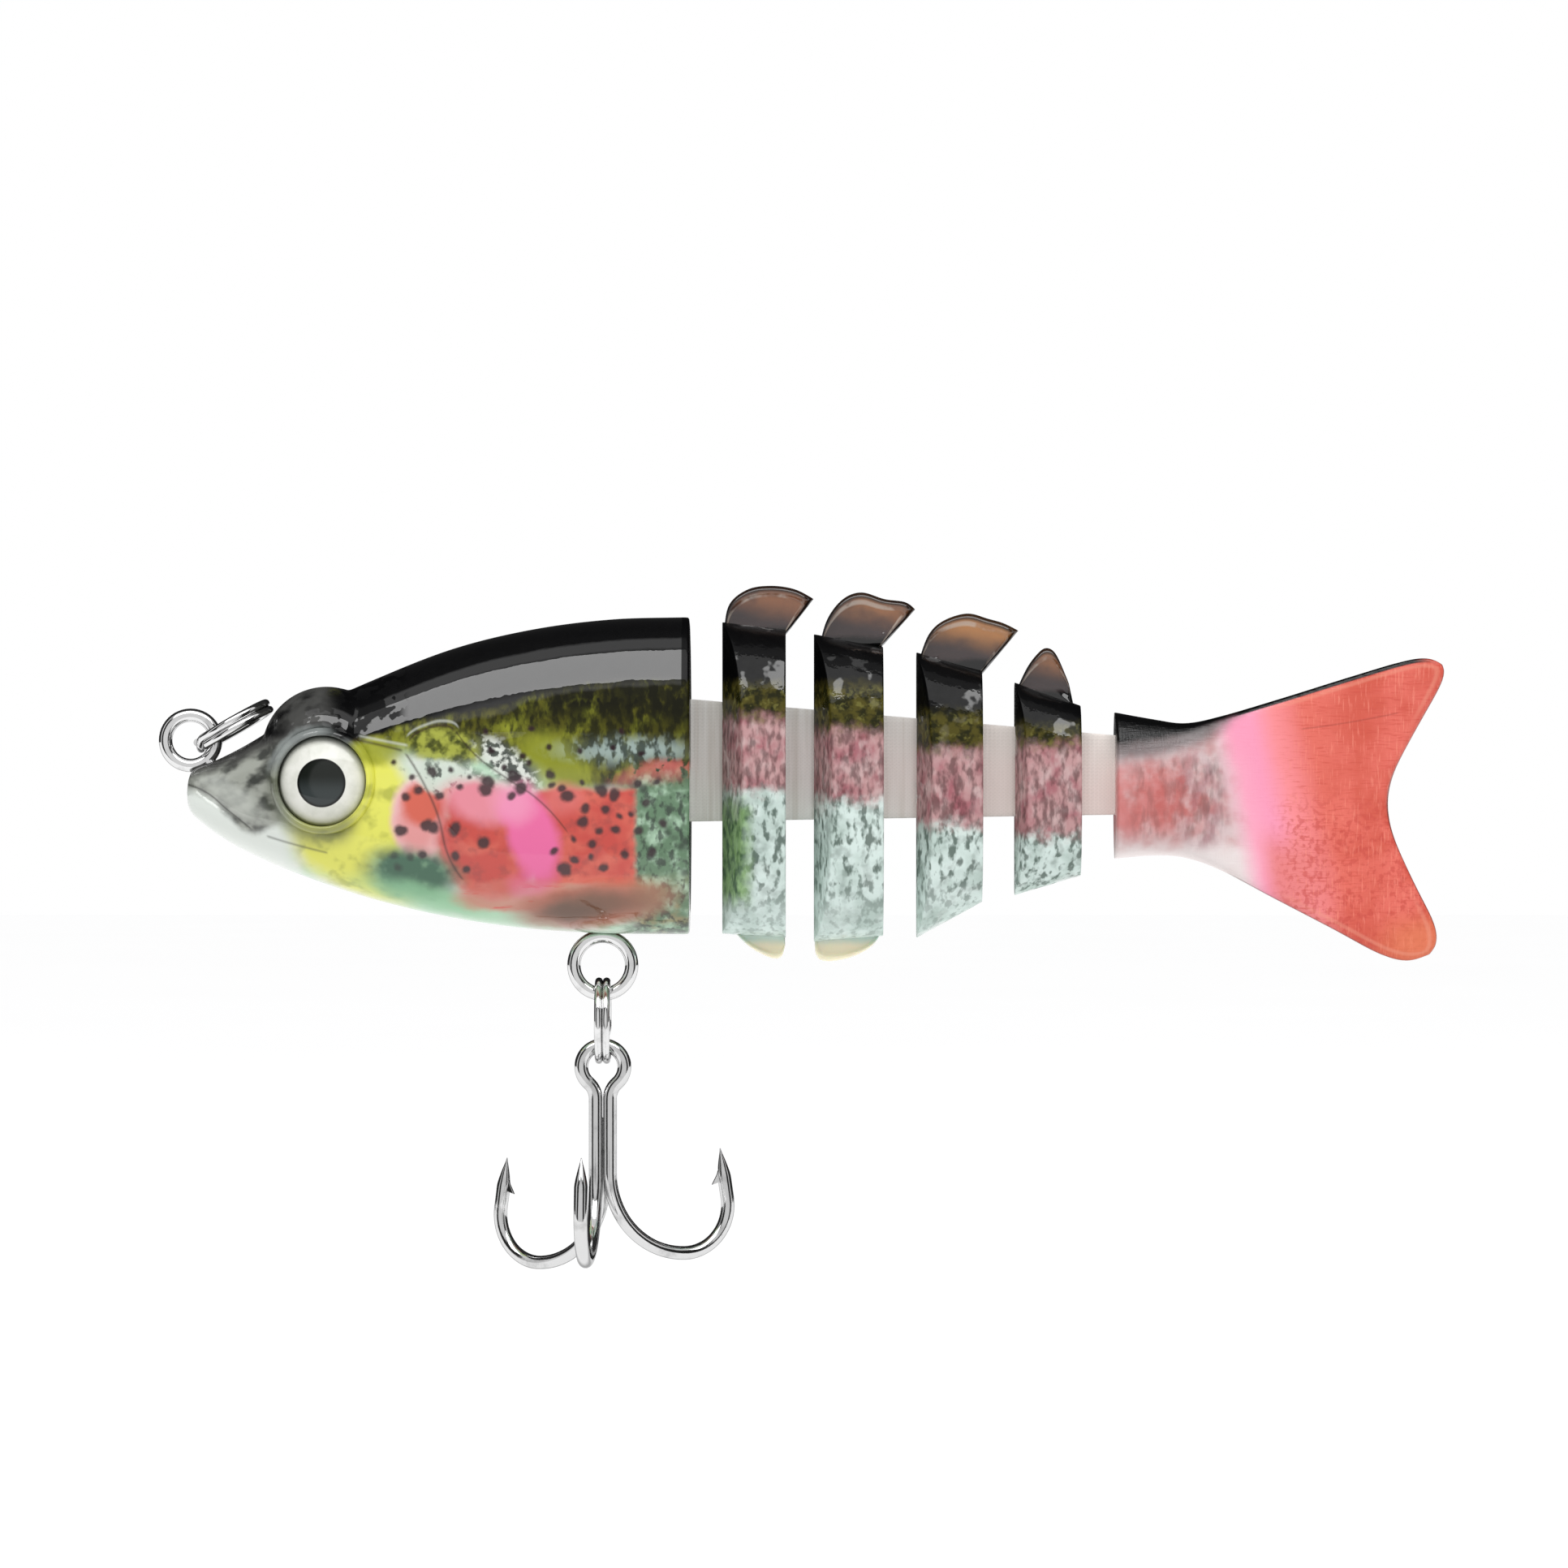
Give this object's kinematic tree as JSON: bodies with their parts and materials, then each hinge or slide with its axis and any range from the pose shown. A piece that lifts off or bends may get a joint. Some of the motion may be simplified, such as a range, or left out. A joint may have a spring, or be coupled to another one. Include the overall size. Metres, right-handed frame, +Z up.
{
  "type": "jointed swimbait lure",
  "caption": "Small multi-jointed swimbait: hollow fish head, thin body segments and forked tail on a woven ribbon, with split rings and a treble hook.",
  "frame": {"origin": "centre of the line tie's round wire eye, at the tip of the nose, where the lure is held in use", "axes": "+X from nose to tail along the straight body, +Z up through the back, +Y to the fish's right"},
  "size_m": [0.0512, 0.0091, 0.0274],
  "materials": {
    "painted_shell": "gloss",
    "eye_foil": "gloss",
    "eye_resin": "polished",
    "wire": "polished",
    "hook_wire": "polished",
    "ballast": "satin",
    "ribbon": "matte"
  },
  "bodies": {
    "head": {"head_shell_left": "painted_shell", "head_shell_right": "painted_shell", "eye_foil_left": "eye_foil", "eye_foil_right": "eye_foil", "eye_dome_left": "eye_resin", "eye_dome_right": "eye_resin", "line_tie": "wire", "hook_hanger": "wire", "ballast_ball_front": "ballast", "ballast_ball_rear": "ballast", "ribbon_head": "ribbon"},
    "segment_1": {"segment_1_left": "painted_shell", "segment_1_right": "painted_shell", "ribbon_1": "ribbon"},
    "segment_2": {"segment_2_left": "painted_shell", "segment_2_right": "painted_shell", "ribbon_2": "ribbon"},
    "segment_3": {"segment_3_left": "painted_shell", "segment_3_right": "painted_shell", "ribbon_3": "ribbon"},
    "segment_4": {"segment_4_left": "painted_shell", "segment_4_right": "painted_shell", "ribbon_4": "ribbon"},
    "tail": {"tail_left": "painted_shell", "tail_right": "painted_shell", "ribbon_tail": "ribbon"},
    "nose_ring": {"nose_split_ring": "wire"},
    "belly_ring": {"belly_split_ring": "wire"},
    "treble": {"treble_double_hook": "hook_wire", "treble_single_hook": "hook_wire"}
  },
  "joints": [
    {"name": "ribbon_hinge_1", "type": "hinge", "parent": "head", "child": "segment_1", "pos_m": [0.02053, 0, -0.001], "axis": [0, 0, 1], "range_deg": [-30, 30], "stiffness_Nm_per_rad": 0.00005},
    {"name": "ribbon_hinge_2", "type": "hinge", "parent": "segment_1", "child": "segment_2", "pos_m": [0.02424, 0, -0.001], "axis": [0, 0, 1], "range_deg": [-30, 30], "stiffness_Nm_per_rad": 0.00005},
    {"name": "ribbon_hinge_3", "type": "hinge", "parent": "segment_2", "child": "segment_3", "pos_m": [0.02822, 0, -0.001], "axis": [0, 0, 1], "range_deg": [-30, 30], "stiffness_Nm_per_rad": 0.00005},
    {"name": "ribbon_hinge_4", "type": "hinge", "parent": "segment_3", "child": "segment_4", "pos_m": [0.03213, 0, -0.001], "axis": [0, 0, 1], "range_deg": [-30, 30], "stiffness_Nm_per_rad": 0.00005},
    {"name": "ribbon_hinge_5", "type": "hinge", "parent": "segment_4", "child": "tail", "pos_m": [0.03608, 0, -0.001], "axis": [0, 0, 1], "range_deg": [-30, 30], "stiffness_Nm_per_rad": 0.00005},
    {"name": "nose_ring_swing", "type": "hinge", "parent": "head", "child": "nose_ring", "pos_m": [0.00034, 0, -0.00022], "axis": [0, -1, 0], "range_deg": [0, 150]},
    {"name": "belly_ring_swing", "type": "hinge", "parent": "head", "child": "belly_ring", "pos_m": [0.0164, 0, -0.0101], "axis": [1, 0, 0], "range_deg": [-50, 50]},
    {"name": "treble_swing", "type": "hinge", "parent": "belly_ring", "child": "treble", "pos_m": [0.0164, 0, -0.01273], "axis": [0, 1, 0], "range_deg": [-65, 65]}
  ]
}
